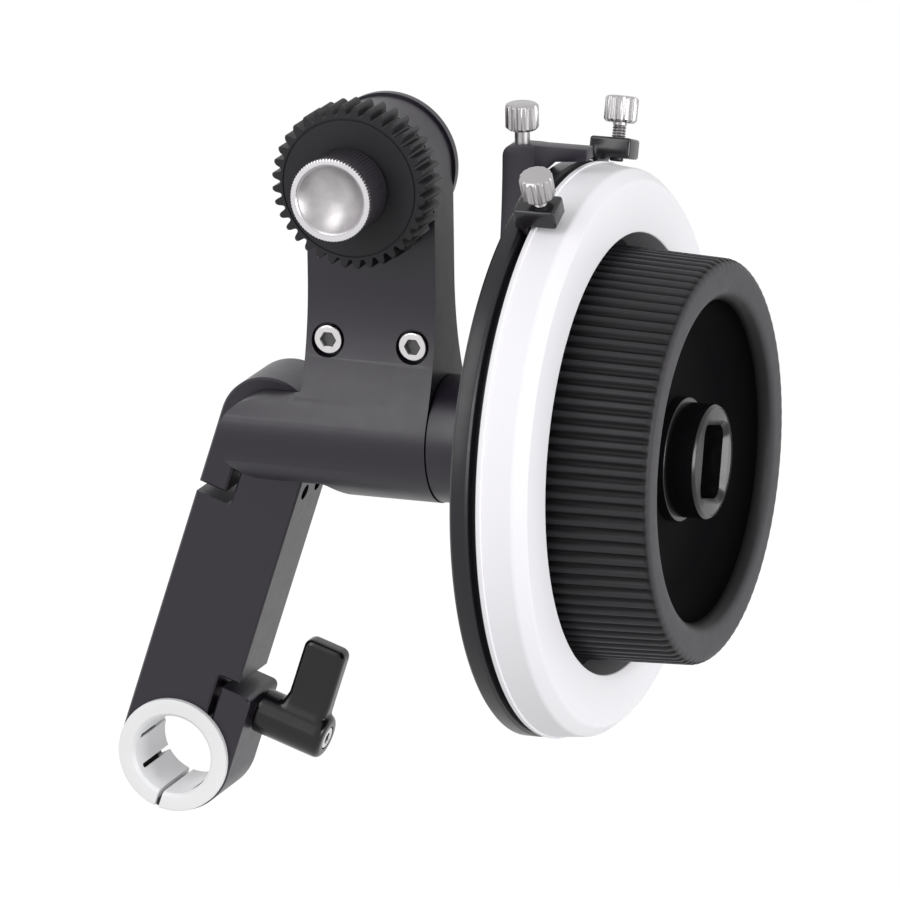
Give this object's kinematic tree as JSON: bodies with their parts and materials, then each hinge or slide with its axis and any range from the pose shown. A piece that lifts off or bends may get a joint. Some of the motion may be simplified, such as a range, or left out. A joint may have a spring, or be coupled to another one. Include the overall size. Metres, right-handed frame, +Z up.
{
  "type": "lens follow focus",
  "caption": "Follow focus for camera rods: a dished hand wheel with a white marking ring and hard stops turns a lens gear on a swing arm with a lever rod clamp.",
  "frame": {"origin": "centre of the rod bore, midway through the swing arm", "axes": "+X towards the focus wheel, +Y back along the rods, +Z up"},
  "size_m": [0.1174, 0.1054, 0.1411],
  "materials": {
    "black_anodised": "bead-blasted matte black anodising",
    "gloss_black_anodised": "smooth black anodising",
    "black_disc": "turned black anodising",
    "white_acetal": "satin white",
    "white_marking_plastic": "satin white write-on surface",
    "black_grip_plastic": "ribbed matte black",
    "black_gear_plastic": "machined matte black",
    "black_belt": "toothed belt",
    "black_steel": "black oxide",
    "bright_stainless": "turned bright stainless",
    "plain_steel": "ground steel",
    "plain_aluminium": "plain machined",
    "bronze": "sintered"
  },
  "bodies": {
    "mount_arm": {"swing_arm": "black_anodised", "rod_bushing": "white_acetal", "pinch_screws": "black_steel"},
    "clamp_lever": {"lever_handle": "gloss_black_anodised", "clamp_stud": "plain_steel", "lever_screw": "bright_stainless"},
    "drive_head": {"front_housing": "black_anodised", "rear_housing": "black_anodised", "rear_cap": "black_anodised", "rear_cap_screws": "black_steel", "housing_screws": "bright_stainless", "hinge_pin": "plain_steel", "hinge_washer": "black_steel", "hinge_screw": "black_steel", "output_collar": "black_anodised", "shaft_bearings": "plain_steel", "spindle_bushes": "bronze", "cross_bushes": "bronze", "index_bracket": "black_anodised", "bracket_grub": "black_steel", "timing_belt": "black_belt"},
    "index_screw": {"index_thumb_screw": "bright_stainless"},
    "focus_wheel": {"wheel_shaft": "plain_steel", "wheel_bevel_gear": "plain_steel", "wheel_disc": "black_disc", "disc_magnets": "plain_steel", "wheel_screws": "black_steel", "hand_grip": "black_grip_plastic", "whip_hub": "gloss_black_anodised", "hub_screw": "black_steel"},
    "marking_ring_body": {"marking_ring": "white_marking_plastic", "ring_magnets": "plain_steel"},
    "near_hard_stop": {"near_stop": "gloss_black_anodised"},
    "near_thumb_screw": {"near_stop_screw": "bright_stainless"},
    "far_hard_stop": {"far_stop": "gloss_black_anodised"},
    "far_thumb_screw": {"far_stop_screw": "bright_stainless"},
    "cross_drive": {"cross_shaft": "plain_steel", "cross_bevel_gear": "plain_steel", "lower_pulley": "plain_aluminium"},
    "gear_output": {"gear_spindle": "plain_steel", "lens_gear": "black_gear_plastic", "upper_pulley": "plain_aluminium"},
    "gear_knob": {"knob_sleeve": "gloss_black_anodised", "knob_insert": "bright_stainless"}
  },
  "joints": [
    {"name": "head_tilt", "type": "hinge", "parent": "mount_arm", "child": "drive_head", "pos_m": [0.01985, 0, 0.06474], "axis": [0, 1, 0], "range_deg": [-120, 18]},
    {"name": "lever_turn", "type": "hinge", "parent": "mount_arm", "child": "clamp_lever", "pos_m": [0.00388, 0, 0.01167], "axis": [0.9489, 0, -0.3156], "range_deg": [0, 170]},
    {"name": "wheel_spin", "type": "hinge", "parent": "drive_head", "child": "focus_wheel", "pos_m": [0.04165, -0.0042, 0.06499], "axis": [1, 0, 0], "range_deg": [-19, 12.5]},
    {"name": "cross_spin", "type": "hinge", "parent": "drive_head", "child": "cross_drive", "pos_m": [0.04165, -0.0042, 0.06499], "axis": [0, 1, 0], "range_deg": [-20, 14]},
    {"name": "spindle_spin", "type": "hinge", "parent": "drive_head", "child": "gear_output", "pos_m": [0.04165, -0.0042, 0.11489], "axis": [0, 1, 0], "range_deg": [-20, 14]},
    {"name": "knob_turn", "type": "hinge", "parent": "gear_output", "child": "gear_knob", "pos_m": [0.04165, -0.0042, 0.11489], "axis": [0, -1, 0], "range_deg": [0, 360]},
    {"name": "ring_slide", "type": "slide", "parent": "focus_wheel", "child": "marking_ring_body", "axis": [1, 0, 0], "range_m": [0, 0.045]},
    {"name": "near_stop_slide", "type": "hinge", "parent": "focus_wheel", "child": "near_hard_stop", "pos_m": [0.04165, -0.0042, 0.06499], "axis": [1, 0, 0], "range_deg": [0, 140]},
    {"name": "far_stop_slide", "type": "hinge", "parent": "focus_wheel", "child": "far_hard_stop", "pos_m": [0.04165, -0.0042, 0.06499], "axis": [1, 0, 0], "range_deg": [-140, 0]},
    {"name": "near_screw_turn", "type": "hinge", "parent": "near_hard_stop", "child": "near_thumb_screw", "pos_m": [0.08165, -0.02746, 0.11725], "axis": [0, -0.4067, 0.9135], "range_deg": [0, 360]},
    {"name": "far_screw_turn", "type": "hinge", "parent": "far_hard_stop", "child": "far_thumb_screw", "pos_m": [0.08165, 0.013, 0.11955], "axis": [0, 0.3007, 0.9537], "range_deg": [0, 360]},
    {"name": "index_screw_turn", "type": "hinge", "parent": "drive_head", "child": "index_screw", "pos_m": [0.06945, -0.0042, 0.12189], "axis": [0, 0, 1], "range_deg": [0, 360]}
  ],
  "couplings": [
    {"joint": "cross_spin", "follows": "wheel_spin", "ratio": 1},
    {"joint": "spindle_spin", "follows": "wheel_spin", "ratio": 1}
  ]
}
